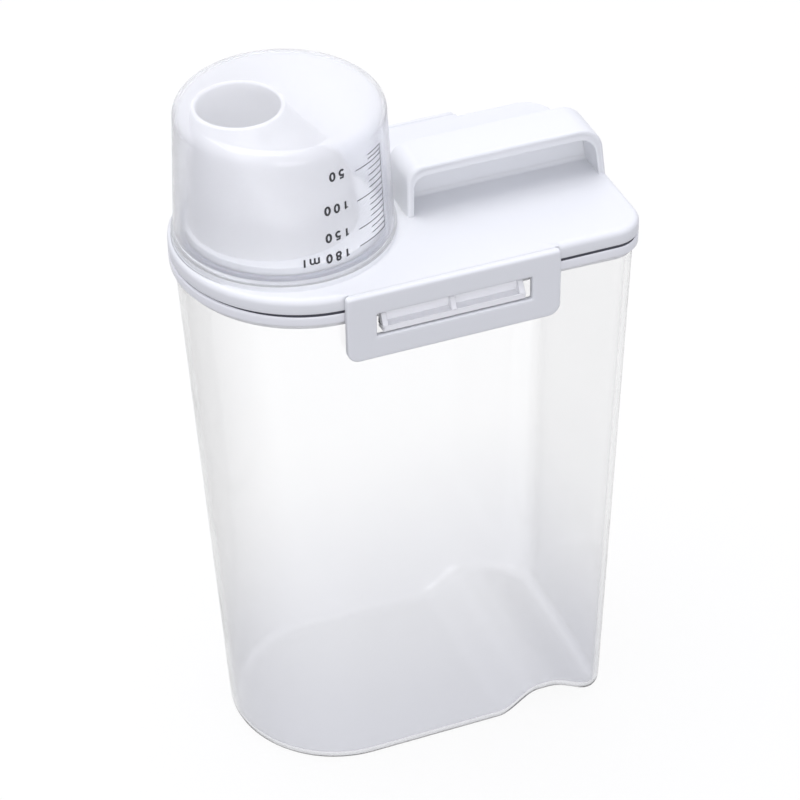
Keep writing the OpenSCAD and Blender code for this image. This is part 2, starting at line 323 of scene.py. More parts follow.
def outline(centre, radius, end, corner, side_x=None):
    """A closed D plan: half circle, long side, corner, square end, and the same mirrored, as (point, xy).

    side_x places the points along the long sides, as shares from the half circle to the corner."""
    shares = np.linspace(0, 1, 61)[1:-1] if side_x is None else side_x
    a = arc(180, 90, 48)
    tip = np.c_[centre + radius * np.cos(a), radius * np.sin(a)]
    x = mix(centre, end - corner, shares)
    side = np.c_[x, np.full_like(x, radius)]
    b = arc(90, 0, 12)
    bend = np.c_[end - corner + corner * np.cos(b), radius - corner + corner * np.sin(b)]
    y = np.linspace(radius - corner, 0, 13)[1:-1]
    square = np.c_[np.full_like(y, end), y]
    half = np.vstack([tip, side, bend, square])
    mirrored = half[1:][::-1] * [1, -1]
    return np.vstack([half, [[end, 0]], mirrored])


def rim_outline(inset, side_x=None):
    """The D plan of the rim, moved in by an inset."""
    return outline(ROUND_X, RIM_HALF_W - inset, RIM_HALF_L - inset, RIM_CORNER_R - inset, side_x)


def underside(x):
    """Height of the container's floor line: an eased rise, a level crown and an eased fall."""
    crown = RECESS_X + RECESS_RISE + RECESS_CROWN
    return RECESS_H * (ease((x - RECESS_X) / RECESS_RISE) - ease((x - crown) / RECESS_FALL))


RIM_WALL_HALF = RIM_HALF_W - FLANGE_W
BASE_HALF = RIM_WALL_HALF - SIDE_TAPER
RIM_PLAN = np.array([ROUND_X, RIM_WALL_HALF, RIM_HALF_L - FLANGE_W, RIM_CORNER_R - FLANGE_W])
BASE_PLAN = np.array([
    FLANGE_W + SPOUT_END_TAPER + BASE_HALF - RIM_HALF_L,
    BASE_HALF,
    RIM_HALF_L - FLANGE_W - SQUARE_END_TAPER,
    BASE_CORNER_R,
])
FLOOR_CENTRE = np.array([10.0, 0.0])


def wall_ring(share, inset, z, follow):
    """A ring of the container: base and rim plans mixed, moved in, at z plus a share of the floor line."""
    plan = mix(BASE_PLAN, RIM_PLAN, share) - np.array([0, inset, inset, inset])
    xy = outline(*plan)
    return np.c_[xy, z + follow * underside(xy[:, 0])]


def floor_rings(inset, z, scales):
    """Rings of the floor: the base plan shrunk towards a point, each following the floor line."""
    plan = BASE_PLAN - np.array([0, inset, inset, inset])
    xy = FLOOR_CENTRE + (outline(*plan) - FLOOR_CENTRE) * np.asarray(scales)[:, None, None]
    return np.concatenate([xy, (z + underside(xy[..., 0]))[..., None]], -1)


def container_skin(inset, lift, edge, rim_z):
    """Floor, rounded edge and wall of one face of the container, from the floor's middle up to the rim."""
    floor = floor_rings(inset + edge, lift, np.linspace(0, 1, 41))
    a = arc(0, 90, 10)[1:]
    bend = [wall_ring(0, inset + edge * (1 - math.sin(t)), lift + edge * (1 - math.cos(t)), 1) for t in a]
    low = lift + edge
    wall = [wall_ring(s, inset, mix(low, rim_z, s), 1 - s) for s in np.linspace(0, 1, 25)[1:]]
    return list(floor) + bend + wall


def build_container(material, milky, catch_material):
    """The container as one closed shell of outer skin, flange, lip and inner skin, and its two catches."""
    flange_root = FLANGE_Z - FLANGE_ROOT
    lip_root = LIP_Z - LIP_ROOT
    inside = FLANGE_W + WALL
    outer = container_skin(0, 0, BASE_R, flange_root)
    corners = [
        (FLANGE_W, flange_root),
        (FLANGE_W, FLANGE_Z),
        (0, FLANGE_Z),
        (0, RIM_Z),
        (LIP_INSET, RIM_Z),
        (LIP_INSET, LIP_Z),
        (inside, LIP_Z),
        (inside, lip_root),
    ]
    rim = [level(rim_outline(d), z) for d, z in rounded(corners, RIM_ROUNDS)[1:-1]]
    inner = container_skin(WALL, FLOOR_T, BASE_R - WALL, lip_root)
    rings = outer + rim + inner[::-1]
    shell = add_rings("container_shell", rings, material, "jar", "container")
    shell.data.materials.append(milky)
    second_material_above(shell, FLANGE_Z - MILKY_START)
    shell.visible_shadow = False
    for side, name in ((-1, "front_catch"), (1, "rear_catch")):
        build_catch(name, side, catch_material)


def prism(outline_2d, start, stop, place):
    """Points and faces of a prism: a convex outline carried from start to stop, with place giving xyz."""
    shape = np.asarray(outline_2d, float)
    n = len(shape)
    points = np.vstack([place(np.full(n, s), shape[:, 0], shape[:, 1]) for s in (start, stop)])
    faces = grid_faces(2, n) + [list(range(n))[::-1], list(range(n, 2 * n))]
    return points, faces


def lengthwise(x, y, z):
    """Places of a prism that runs along X."""
    return np.c_[x, y, z]


def join(shapes):
    """Several (points, faces) pairs as one."""
    points, faces, first = [], [], 0
    for part_points, part_faces in shapes:
        points.append(part_points)
        faces += [[i + first for i in face] for face in part_faces]
        first += len(part_points)
    return np.vstack(points), faces


def build_catch(name, side, material):
    """A shelf under the flange, three gussets that slope up to it and a rib along the wall behind them."""
    root = RIM_WALL_HALF - CATCH_SINK
    low = FLANGE_Z - CATCH_H
    x0, x1 = LATCH_X - CATCH_L / 2, LATCH_X + CATCH_L / 2

    def place(x, y, z):
        return np.c_[x, side * y, z]

    shelf = [(root, low), (CATCH_Y, low), (CATCH_Y, low + SHELF_T), (root, low + SHELF_T)]
    web = [(root, low + SHELF_T), (CATCH_Y, low + SHELF_T), (RIM_HALF_W, FLANGE_Z), (root, FLANGE_Z)]
    rib = [(root, low), (root + RIB_T, low), (root + RIB_T, FLANGE_Z), (root, FLANGE_Z)]
    shapes = [prism(shelf, x0, x1, place), prism(rib, x0, x1, place)]
    for x in (x0, LATCH_X - GUSSET_T / 2, x1 - GUSSET_T):
        shapes.append(prism(web, x, x + GUSSET_T, place))
    points, faces = join(shapes)
    piece = add_mesh(name, points, faces, material, "jar", None)
    bevel = piece.modifiers.new("edge", "BEVEL")
    bevel.width = CATCH_BEVEL * MM
    bevel.segments = 2


# Lid

LAND_X = (LATCH_X - LATCH_L / 2, LATCH_X + LATCH_L / 2)

# Spout: direction of the pouring side, and foot, shoulder and mouth from the plate up
POUR = np.array([-math.cos(math.radians(SPOUT_TURN)), math.sin(math.radians(SPOUT_TURN))])
POUR_SIDE = np.interp(SHOULDER_Z, [PLATE_Z, MOUTH_Z], [FOOT_SHIFT + SPOUT_R, MOUTH_SHIFT + MOUTH_R])
SPOUT_Z = [PLATE_Z, SHOULDER_Z, MOUTH_Z - MOUTH_RIM, MOUTH_Z]
SPOUT_SHIFT = [FOOT_SHIFT, POUR_SIDE - SHOULDER_R, MOUTH_SHIFT, MOUTH_SHIFT]
SPOUT_RADIUS = [SPOUT_R, SHOULDER_R, MOUTH_R, MOUTH_R]


def lid_side_shares():
    """Shares along the lid's long sides, with two close points at each end of the latch's land."""
    length = RIM_HALF_L - RIM_CORNER_R - ROUND_X
    ends = [(LAND_X[1] - ROUND_X) / length, (LAND_X[1] + LAND_STEP - ROUND_X) / length]
    return np.sort(np.concatenate([np.linspace(0, 1, 61)[1:-1], ends]))


def lid_edge_radius(xy):
    """Radius of the lid's top edge at each point: small on the land where a latch hinges, full elsewhere."""
    on_side = np.abs(xy[:, 1]) > RIM_HALF_W - SIDE_TOLERANCE
    on_land = (xy[:, 0] > LAND_X[0]) & (xy[:, 0] < LAND_X[1] + LAND_STEP / 2)
    return np.where(on_side & on_land, LAND_EDGE_R, LID_EDGE_R)


def build_lid(material, spout_material):
    """Lid and spout as one closed skin.

    Rings run from the outer edge in over the top to the seat, up the collar, drum and slanted funnel to the
    mouth, down inside them, out under the plate, round the plug ring and down and up the skirt."""
    shares = lid_side_shares()
    edge = rim_outline(0, shares)
    axis = np.array([CUP_X, 0.0])
    ray = (edge - axis) / np.linalg.norm(edge - axis, axis=1)[:, None]

    def circle_at(shift, r, z):
        return level(axis + POUR * shift + ray * r, z)

    def spout_at(z, inset):
        """A ring of the spout: shift and radius run straight from foot to shoulder to mouth, eased."""
        spread = z + np.linspace(-SHOULDER_BLEND, SHOULDER_BLEND, 9)
        shift = np.interp(spread, SPOUT_Z, SPOUT_SHIFT).mean()
        return circle_at(shift, np.interp(spread, SPOUT_Z, SPOUT_RADIUS).mean() - inset, z)

    radius = lid_edge_radius(edge)
    flat = rim_outline(LID_EDGE_R, shares)
    inward = (flat - edge) / LID_EDGE_R
    top_edge = []
    for a in arc(0, 90, 6):
        d = radius * (1 - math.cos(a))
        z = LID_Z - radius * (1 - math.sin(a))
        top_edge.append(np.c_[edge + inward * d[:, None], z])

    seat_foot = axis + ray * SEAT_R
    reach = np.linalg.norm(flat - axis, axis=1)[:, None]
    start = np.where(reach < SEAT_R + SEAT_MARGIN, seat_foot + ray * SEAT_MARGIN, flat)
    stop = seat_foot + ray * SEAT_COVE
    top = [level(mix(start, stop, s), LID_Z) for s in np.linspace(TOP_START, 1, 16)]

    seat_corners = [
        (SEAT_R, LID_Z + SEAT_FOOT),
        (SEAT_R, SEAT_Z),
        (COLLAR_R, SEAT_Z),
        (COLLAR_R, COLLAR_Z),
        (COLLAR_R - COLLAR_LAND, COLLAR_Z),
    ]
    seat = [circle_at(0, r, z) for r, z in rounded(seat_corners, SEAT_ROUNDS)[:-1]]

    lip_z = MOUTH_Z - LIP_FALL
    outside = [spout_at(z, 0) for z in np.linspace(COLLAR_Z, lip_z - RING_GAP, 46)]
    lip_corners = [(0, lip_z), (0, MOUTH_Z), (SPOUT_WALL, MOUTH_Z), (SPOUT_WALL, lip_z)]
    lip = [spout_at(z, d) for d, z in rounded(lip_corners, [LIP_ROUND, LIP_ROUND])]
    inside = [spout_at(z, SPOUT_WALL) for z in np.linspace(lip_z - RING_GAP, PLATE_Z + FOOT_RISE, 46)]
    hole = [circle_at(FOOT_SHIFT, SPOUT_R - SPOUT_WALL, PLATE_Z)]

    under_corners = [
        (PLUG_INSET + PLUG_T, PLATE_Z),
        (PLUG_INSET + PLUG_T, PLATE_Z - PLUG_H),
        (PLUG_INSET, PLATE_Z - PLUG_H),
        (PLUG_INSET, PLATE_Z),
        (SKIRT_T, PLATE_Z),
        (SKIRT_T, SKIRT_Z),
        (0, SKIRT_Z),
        (0, LID_Z - LID_EDGE_R),
    ]
    under = [level(rim_outline(d, shares), z) for d, z in rounded(under_corners, UNDER_ROUNDS)[:-1]]
    rings = top_edge + top + seat + outside + lip + inside + hole + under
    moulding = add_rings("lid_moulding", rings, material, "jar", "lid", close=True, smooth=50)
    moulding.data.materials.append(spout_material)
    # The spout above the collar takes the lighter copy of the white: painted light
    second_material_above(moulding, COLLAR_Z)


def build_joint(material):
    """Painted shadow of the gap under the skirt: a thin dark ring, nearest the outside where the plan faces
    a long side.
    """
    edge = rim_outline(0)
    facing = np.abs(rim_outline(1) - edge)[:, 1]
    share = ease((facing - GAP_SHADE_FADE) / (1 - GAP_SHADE_FADE))[:, None]
    front = mix(rim_outline(GAP_SHADE_END), rim_outline(GAP_SHADE_SIDE), share)
    back = rim_outline(GAP_SHADE_BACK)
    low = RIM_Z - GAP_SHADE_SINK
    rings = [level(front, low), level(front, SKIRT_Z), level(back, SKIRT_Z), level(back, low)]
    add_rings("lid_gap_shade", rings, material, "jar", None, close=True)


def grip_line(inset, drop, low):
    """Arch of the grip in X and Z: legs moved in by an inset, top lowered by a drop, feet at a height."""
    top = GRIP_Z - drop
    corners = [
        (GRIP_X0 + inset, low),
        (GRIP_X0 + inset, top),
        (GRIP_X1 - GRIP_LEAN - inset, top),
        (GRIP_X1 - inset, low),
    ]
    return resample(rounded(corners, [GRIP_R_IN - inset / 2, GRIP_R_OUT - inset], steps=16), 160)


def resample(path, count):
    """count + 1 points at even distances along a path."""
    step = np.r_[0, np.cumsum(np.linalg.norm(np.diff(path, axis=0), axis=1))]
    even = np.linspace(0, step[-1], count + 1)
    return np.c_[np.interp(even, step, path[:, 0]), np.interp(even, step, path[:, 1])]


def rounded_box(width, height, r, steps=5):
    """A closed rectangle about the origin with rounded corners, as (point, xy), for one width or many."""
    width = np.asarray(width, float)[..., None]
    parts = []
    for sx, sy, a0 in ((1, 1, 0), (-1, 1, 90), (-1, -1, 180), (1, -1, 270)):
        a = arc(a0, a0 + 90, steps)
        x = sx * (width / 2 - r) + r * np.cos(a)
        y = np.broadcast_to(sy * (height / 2 - r) + r * np.sin(a), x.shape)
        parts.append(np.stack([x, y], -1))
    return np.concatenate(parts, -2)


def band(outer, inner, y0, y1, r):
    """A band between two arches, from y0 to y1, with a rounded section, closed at both feet."""
    across = inner - outer
    width = np.linalg.norm(across, axis=1)
    section = rounded_box(width, y1 - y0, r)
    middle = (outer + inner) / 2
    xz = middle[:, None, :] + (across / width[:, None])[:, None, :] * section[..., :1]
    y = (y0 + y1) / 2 + section[..., 1]
    rings = np.stack([xz[..., 0], y, xz[..., 1]], -1)
    rows, n = rings.shape[:2]
    caps = [list(range(n))[::-1], list(range((rows - 1) * n, rows * n))]
    return rings.reshape(-1, 3), grid_faces(rows, n) + caps


def build_grip(material):
    """Arched strap with rounded edges, a lip along its near edge, the web under it and its coved foot."""
    low = LID_Z - LID_EDGE_R / 2
    outer = grip_line(0, 0, low)
    strap = band(outer, grip_line(GRIP_T, GRIP_T, low), GRIP_NEAR, GRIP_FAR, GRIP_EDGE_R)
    lip_outer = grip_line(GRIP_EDGE_R, GRIP_EDGE_R, low)
    lip = band(lip_outer, grip_line(GRIP_T, GRIP_LIP, low), GRIP_NEAR, GRIP_NEAR + GRIP_T, GRIP_LIP_R)

    def upright(y, x, z):
        return np.c_[x, y, z]

    web = prism(grip_line(GRIP_T / 2, GRIP_T / 2, low), WEB_Y, WEB_Y + GRIP_T, upright)
    a = arc(0, 90, 6)
    cove = np.c_[WEB_Y - COVE_R + COVE_R * np.sin(a), LID_Z + COVE_R * (1 - np.cos(a))]
    behind = WEB_Y + COVE_SINK
    corner = [(behind, LID_Z + COVE_R), (behind, low), (WEB_Y - COVE_R, low)]
    foot = prism(np.vstack([cove, corner]), GRIP_X0 + GRIP_T / 2, GRIP_X1 - GRIP_T, lengthwise)
    points, faces = join([strap, lip, web, foot])
    add_mesh("lid_grip", points, faces, material, "jar", "lid")


# Latches

def rounded_loop(width, height, r_low, r_high, steps, side, rise):
    """A closed rectangle about the origin as (point, xy): corner arcs with even points between them."""
    spots = ((1, 1, 0, r_high), (-1, 1, 90, r_high), (-1, -1, 180, r_low), (1, -1, 270, r_low))
    corners = []
    for sx, sy, a0, r in spots:
        a = arc(a0, a0 + 90, steps)
        corners.append(np.c_[sx * (width / 2 - r) + r * np.cos(a), sy * (height / 2 - r) + r * np.sin(a)])
    loop = []
    for k, corner in enumerate(corners):
        following = corners[(k + 1) % 4]
        count = side if k % 2 == 0 else rise
        t = np.linspace(0, 1, count + 1)[1:-1, None]
        loop += [corner, mix(corner[-1], following[0], t)]
    return np.vstack(loop)


def build_latch(name, body, side, material):
    """A slotted flap: rings run from the slot out over the face, round the outer edge and back behind."""
    z0, z1 = latch_low[2], latch_high[2]
    height = z1 - z0
    middle = np.array([LATCH_X, (z0 + z1) / 2])
    slot_middle = np.array([LATCH_X, SLOT_Z + SLOT_H / 2])
    steps, along, rise = 6, 40, 10

    def outer(inset):
        size = (LATCH_L - 2 * inset, height - 2 * inset)
        return middle + rounded_loop(*size, LATCH_R - inset, LATCH_TOP_R - inset, steps, along, rise)

    def slot(grow):
        size = (SLOT_L + 2 * grow, SLOT_H + 2 * grow)
        return slot_middle + rounded_loop(*size, SLOT_R + grow, SLOT_R + grow, steps, along, rise)

    edge = outer(0)
    on_top = ease((edge[:, 1] - (z1 - TOP_EDGE_FALL)) / TOP_EDGE_BLEND)
    edge_r = mix(LATCH_EDGE_R, LATCH_TOP_EDGE_R, on_top)[:, None]
    inward = (outer(LATCH_EDGE_R) - edge) / LATCH_EDGE_R

    def ring(xz, depth):
        """Depth is measured back from the latch's front face."""
        y = side * (LATCH_Y + LATCH_T - np.broadcast_to(np.ravel(depth), len(xz)))
        return np.c_[xz[:, 0], y, xz[:, 1]]

    e = LATCH_EDGE_R
    rings = [ring(slot(0), LATCH_T - SLOT_BACK_EDGE), ring(slot(0), LATCH_T / 2), ring(slot(0), e)]
    rings += [ring(slot(e * (1 - math.cos(a))), e * (1 - math.sin(a))) for a in arc(0, 90, 4)[1:]]
    face_start, face_stop = slot(e), edge + inward * edge_r
    rings += [ring(mix(face_start, face_stop, t), 0) for t in np.linspace(0, 1, 8)[1:]]
    for a in arc(90, 0, 5)[1:]:
        rings.append(ring(edge + inward * edge_r * (1 - math.cos(a)), edge_r * (1 - math.sin(a))))
    back_start, back_stop = edge + inward * LATCH_BACK_EDGE, slot(LATCH_BACK_EDGE)
    rings += [ring(edge, LATCH_T - LATCH_BACK_EDGE), ring(back_start, LATCH_T)]
    rings += [ring(mix(back_start, back_stop, t), LATCH_T) for t in np.linspace(0, 1, 8)[1:]]
    add_rings(name, rings, material, body, body, close=True)


def build_hinge_web(name, side, material):
    """The moulded line that a latch bends on: a thin rod that fills the joint between lid and latch."""
    a = arc(0, 360, 12)[:-1]
    y = side * (RIM_HALF_W + (LATCH_Y - RIM_HALF_W) / 2) + WEB_R * np.cos(a)
    z = LID_Z - WEB_R + WEB_R * np.sin(a)
    points, faces = prism(np.c_[y, z], LAND_X[0] + LATCH_TOP_R, LAND_X[1] - LATCH_TOP_R, lengthwise)
    add_mesh(name, points, faces, material, "jar", None)


# Cup, seal and printed scale

TURN_STEPS = 192
TURN = np.radians(np.arange(TURN_STEPS) * 360 / TURN_STEPS)


def revolve(path, x):
    """Rings of a path of (radius, z) turned about the upright line at x."""
    path = np.asarray(path)
    r, z = path[:, 0, None], path[:, 1, None]
    return np.stack([x + r * np.cos(TURN), r * np.sin(TURN), np.broadcast_to(z, (len(path), len(TURN)))], -1)


def cup_radius(z):
    """Outer radius of the cup's wall at a height: it narrows evenly from mouth to top."""
    return CUP_WALL_R - CUP_TAPER * (z - SEAT_Z) / (CUP_Z - CUP_EDGE_R - SEAT_Z)


def build_cup(material):
    """A closed section, turned: from the top's middle over the outside, round the rim and back inside."""
    bead_z = SEAT_Z + BEAD_H
    ceiling = CUP_Z - CUP_WALL
    corners = [
        (0, CUP_Z),
        (cup_radius(CUP_Z), CUP_Z),
        (cup_radius(bead_z), bead_z),
        (CUP_R, bead_z - BEAD_W),
        (CUP_R, SEAT_Z),
        (CUP_WALL_R - CUP_WALL, SEAT_Z),
        (cup_radius(ceiling) - CUP_WALL, ceiling),
        (0, ceiling),
    ]
    path = rounded(corners, [CUP_EDGE_R, *CUP_FOOT_ROUNDS, CUP_EDGE_R - CUP_WALL], steps=8)
    dense = [path[0]]
    for start, stop in zip(path[:-1], path[1:]):
        count = max(1, int(np.linalg.norm(stop - start) / PROFILE_STEP))
        dense += [mix(start, stop, k / count) for k in range(1, count + 1)]
    rings = revolve(dense, CUP_X)
    shell = add_rings("measuring_cup_shell", rings, material, "cup", "measuring_cup")
    shell.visible_shadow = False


def build_seal(material):
    """Silicone ring round the foot of the spout, with a soft section."""
    r1 = (seal_high[0] - seal_low[0]) / 2
    r0 = COLLAR_R + SEAL_CLEAR
    middle = np.array([(r0 + r1) / 2, (seal_low[2] + seal_high[2]) / 2])
    section = middle + rounded_box(r1 - r0, seal_high[2] - seal_low[2], SEAL_ROUND)
    rings = revolve(section, CUP_X)
    add_rings("seal_ring", rings, material, "jar", "spout_seal", close=True)


# Printed scale: places are the azimuth round the cup in degrees and the height in millimetres
SCALE_LIFT = 0.06
SCALE_LINE = -44.8
LONG_TICK = -67.0
SHORT_TICK = -57.2
TICK_WIDTH = 0.34
MARKS = {30: 265.6, 50: 262.3, 100: 250.5, 150: 239.3, 180: 232.6}
RAISED = {50: 1.35, 100: 0.6, 150: 1.15, 180: -0.2}
NUMERALS = {50: -76.3, 100: -74.7, 150: -74.9, 180: -75.2}
NUMERAL_H = 3.4
SIGN_SPACE = 1.05
SIGN_STEP = {"m": 1.49}
STROKE = 0.24
THIN_STROKE = 0.2


def mark_height(volume):
    """Height of a mark, read between the known marks."""
    known = sorted(MARKS)
    return np.interp(volume, known, [MARKS[v] for v in known])


def on_cup(azimuth, z):
    """Points on the cup's outside, a print's thickness proud of it."""
    r = cup_radius(z) + SCALE_LIFT
    a = np.radians(azimuth)
    return np.stack([CUP_X + r * np.cos(a), r * np.sin(a), z], -1)


def patch(azimuth0, azimuth1, z0, z1, count):
    """A strip of print wrapped on the cup."""
    az = np.linspace(azimuth0, azimuth1, count + 1)
    points = np.vstack([on_cup(az, np.full_like(az, z)) for z in (z0, z1)])
    return points, grid_faces(2, count + 1, close_columns=False)


def ellipse(x, y, rx, ry, start=0, stop=360):
    """Points of an ellipse about a middle, from one angle to another."""
    a = arc(start, stop, 24)
    return np.c_[x + rx * np.cos(a), y + ry * np.sin(a)]


# Strokes of each sign in a cell one high, with its middle at x = 0
SIGNS = {
    "0": [ellipse(0, 0.5, 0.24, 0.43)],
    "1": [np.array([(-0.2, 0.72), (0.03, 0.93), (0.03, 0.04)])],
    "5": [np.vstack([
        [(0.22, 0.92), (-0.16, 0.92), (-0.19, 0.53)],
        ellipse(-0.03, 0.35, 0.25, 0.29, 125, -140),
    ])],
    "8": [ellipse(0, 0.73, 0.2, 0.2), ellipse(0, 0.28, 0.24, 0.23)],
    "m": [
        np.array([(-0.44, 0.72), (-0.44, 0.02)]),
        np.vstack([ellipse(-0.22, 0.46, 0.22, 0.22, 180, 0), [(0, 0.02)]]),
        np.vstack([ellipse(0.22, 0.46, 0.22, 0.22, 180, 0), [(0.44, 0.02)]]),
    ],
    "l": [np.array([(0, 0.96), (0, 0.04)])],
}


def stroke(path, width):
    """Points and faces of a flat ribbon along a path, square to it at each point."""
    along = np.gradient(path, axis=0)
    along /= np.linalg.norm(along, axis=1)[:, None]
    across = np.c_[-along[:, 1], along[:, 0]] * width / 2
    return np.vstack([path - across, path + across]), grid_faces(2, len(path), close_columns=False)


def numeral(text, azimuth, z):
    """Signs in a row, turned upside down and wrapped on the cup, the first one's middle at an azimuth."""
    shapes = []
    steps = [0] + [SIGN_STEP.get(sign, 1.0) for sign in text[1:]]
    for sign, x in zip(text, np.cumsum(steps)):
        for path in SIGNS[sign]:
            xy, faces = stroke(path, THIN_STROKE if sign in "ml" else STROKE)
            height = z - NUMERAL_H * (xy[:, 1] - 0.5)
            turned = azimuth - np.degrees(NUMERAL_H * (xy[:, 0] + x * SIGN_SPACE) / cup_radius(z))
            shapes.append((on_cup(turned, height), faces))
    return join(shapes)


def build_scale(material):
    """Upright line, a mark every 10 ml with longer ones at the numerals, and the numerals."""
    half = TICK_WIDTH / 2
    width = math.degrees(half / CUP_R)
    low, high = mark_height(180) - half, mark_height(30) + half
    shapes = [patch(SCALE_LINE - width, SCALE_LINE + width, low, high, 2)]
    for volume in range(30, 190, 10):
        stop = LONG_TICK if volume in NUMERALS else SHORT_TICK
        z = mark_height(volume)
        shapes.append(patch(SCALE_LINE, stop, z - half, z + half, 16))
    for volume, azimuth in NUMERALS.items():
        text = f"{volume}ml" if volume == 180 else str(volume)
        shapes.append(numeral(text, azimuth, mark_height(volume) + RAISED[volume]))
    points, faces = join(shapes)
    add_mesh("printed_scale", points, faces, material, "cup", None, smooth=180)


# Materials

LID_WHITE = (0.79, 0.8, 0.815, 1)
# The lid's white plastic, made lighter for the spout under the cup: painted light
SPOUT_LIT_WHITE = (0.98, 0.984, 1, 1)
# White of the catches, raised above the lid's white to lift them out of the slot's shade: painted light
CATCH_LIT_WHITE = (0.98, 0.982, 0.99, 1)
CLEAR_BODY = (1, 1, 1, 1)
# Darker, bluer colour at the container's foot: painted shade
CLEAR_SHADED_FOOT = (0.83, 0.835, 0.87, 1)
CLEAR_CUP = (0.965, 0.97, 0.99, 1)
MILKY_RIM = (0.88, 0.885, 0.91, 1)
# Near-black of the ring in the gap under the skirt: painted shade
GAP_SHADE_DARK = (0.05, 0.05, 0.066, 1)
SEAL_GREY = (0.28, 0.29, 0.34, 1)
GASKET_PALE = (0.6, 0.63, 0.7, 1)
INK_BLACK = (0.02, 0.02, 0.025, 1)
PLASTIC_IOR = 1.49
SILICONE_IOR = 1.41
SCATTER_DEPTH = 0.002
SILICONE_DEPTH = 0.001
NOISE_LOW = 0.3
NOISE_HIGH = 0.7
GLOSS_DETAIL = 3.0
# Facing share at which the painted edge shade begins
EDGE_SHADE_START = 0.26

# Colour sockets of a Mix node
FIRST_COLOUR = 6
SECOND_COLOUR = 7
MIXED_COLOUR = 2


def new_material(name, **sockets):
    """A principled material with constants set on its own sockets, and its node tree."""
    material = bpy.data.materials.new(name)
    material.use_nodes = True
    shader = material.node_tree.nodes["Principled BSDF"]
    for socket, value in sockets.items():
        shader.inputs[socket.replace("_", " ")].default_value = value
    return material, material.node_tree, shader


def add_noise(tree, scale, detail):
    """Noise on Object coordinates, scale counted per metre."""
    place = tree.nodes.new("ShaderNodeTexCoord")
    noise = tree.nodes.new("ShaderNodeTexNoise")
    noise.inputs["Scale"].default_value = scale
    noise.inputs["Detail"].default_value = detail
    tree.links.new(place.outputs["Object"], noise.inputs["Vector"])
    return noise.outputs["Fac"]


def add_grain(tree, shader, scale, detail, strength, distance):
    """Bump from a noise into the shader's normal, distance in metres."""
    bump = tree.nodes.new("ShaderNodeBump")
    bump.inputs["Strength"].default_value = strength
    bump.inputs["Distance"].default_value = distance
    tree.links.new(add_noise(tree, scale, detail), bump.inputs["Height"])
    tree.links.new(bump.outputs["Normal"], shader.inputs["Normal"])


def add_gloss(tree, shader, scale, low, high):
    """Roughness that drifts between a low and a high value with a noise."""
    span = tree.nodes.new("ShaderNodeMapRange")
    span.inputs["From Min"].default_value = NOISE_LOW
    span.inputs["From Max"].default_value = NOISE_HIGH
    span.inputs["To Min"].default_value = low
    span.inputs["To Max"].default_value = high
    tree.links.new(add_noise(tree, scale, GLOSS_DETAIL), span.inputs["Value"])
    tree.links.new(span.outputs["Result"], shader.inputs["Roughness"])


def white_plastic(name, colour, through, scatter, depth=SCATTER_DEPTH):
    """Satin white polypropylene with a fine grain, slow changes of gloss and some light let through."""
    material, tree, shader = new_material(
        name, Base_Color=colour, IOR=PLASTIC_IOR, Subsurface_Weight=scatter, Subsurface_Scale=depth,
        Transmission_Weight=through)
    shader.inputs["Subsurface Radius"].default_value = (1.0, 1.0, 1.0)
    add_gloss(tree, shader, scale=60, low=0.33, high=0.43)
    add_grain(tree, shader, scale=2600, detail=2, strength=0.06, distance=0.0001)
    return material


def add_tint(material, foot, z1, edge):
    """Painted shade on the clear body: darker from the foot up to its own colour at a height, and darker
    where the wall turns away.
    """
    tree = material.node_tree
    shader = tree.nodes["Principled BSDF"]
    place = tree.nodes.new("ShaderNodeTexCoord")
    split = tree.nodes.new("ShaderNodeSeparateXYZ")
    tree.links.new(place.outputs["Object"], split.inputs[0])
    # Painted shade toward the foot: the colour darkens from a height down to the foot
    rise = tree.nodes.new("ShaderNodeMapRange")
    rise.interpolation_type = "SMOOTHSTEP"
    rise.inputs["From Max"].default_value = z1 * MM
    tree.links.new(split.outputs["Z"], rise.inputs["Value"])
    fade = tree.nodes.new("ShaderNodeMix")
    fade.data_type = "RGBA"
    fade.inputs[FIRST_COLOUR].default_value = foot
    fade.inputs[SECOND_COLOUR].default_value = shader.inputs["Base Color"].default_value
    tree.links.new(rise.outputs["Result"], fade.inputs[0])
    # Painted shade at the edges: the colour darkens where the wall turns away from the eye
    turn = tree.nodes.new("ShaderNodeLayerWeight")
    turn.inputs["Blend"].default_value = 0.5
    edge_shade = tree.nodes.new("ShaderNodeMapRange")
    edge_shade.inputs["From Min"].default_value = EDGE_SHADE_START
    edge_shade.inputs["From Max"].default_value = 1.0
    edge_shade.inputs["To Min"].default_value = 1.0
    edge_shade.inputs["To Max"].default_value = edge
    tree.links.new(turn.outputs["Facing"], edge_shade.inputs["Value"])
    shade = tree.nodes.new("ShaderNodeVectorMath")
    shade.operation = "SCALE"
    tree.links.new(fade.outputs[MIXED_COLOUR], shade.inputs[0])
    tree.links.new(edge_shade.outputs["Result"], shade.inputs["Scale"])
    tree.links.new(shade.outputs[0], shader.inputs["Base Color"])


def clear_plastic(name, colour, through, low, high, waves, ior=PLASTIC_IOR):
    """Clear moulded plastic, a little milky, with flow marks in its gloss and surface."""
    material, tree, shader = new_material(name, Base_Color=colour, IOR=ior, Transmission_Weight=through)
    add_gloss(tree, shader, scale=25, low=low, high=high)
    add_grain(tree, shader, scale=45, detail=1, strength=waves, distance=0.0004)
    return material


def silicone(name, colour):
    """Matt silicone with a faint dusty grain."""
    material, tree, shader = new_material(
        name, Base_Color=colour, IOR=SILICONE_IOR, Subsurface_Weight=0.1, Subsurface_Scale=SILICONE_DEPTH)
    add_gloss(tree, shader, scale=400, low=0.45, high=0.6)
    add_grain(tree, shader, scale=3000, detail=2, strength=0.05, distance=0.0001)
    return material


def print_ink():
    """Black pad-printed ink, slightly uneven."""
    material, tree, shader = new_material("print_ink", Base_Color=INK_BLACK)
    add_gloss(tree, shader, scale=900, low=0.4, high=0.6)
    return material


# Stage, light and camera

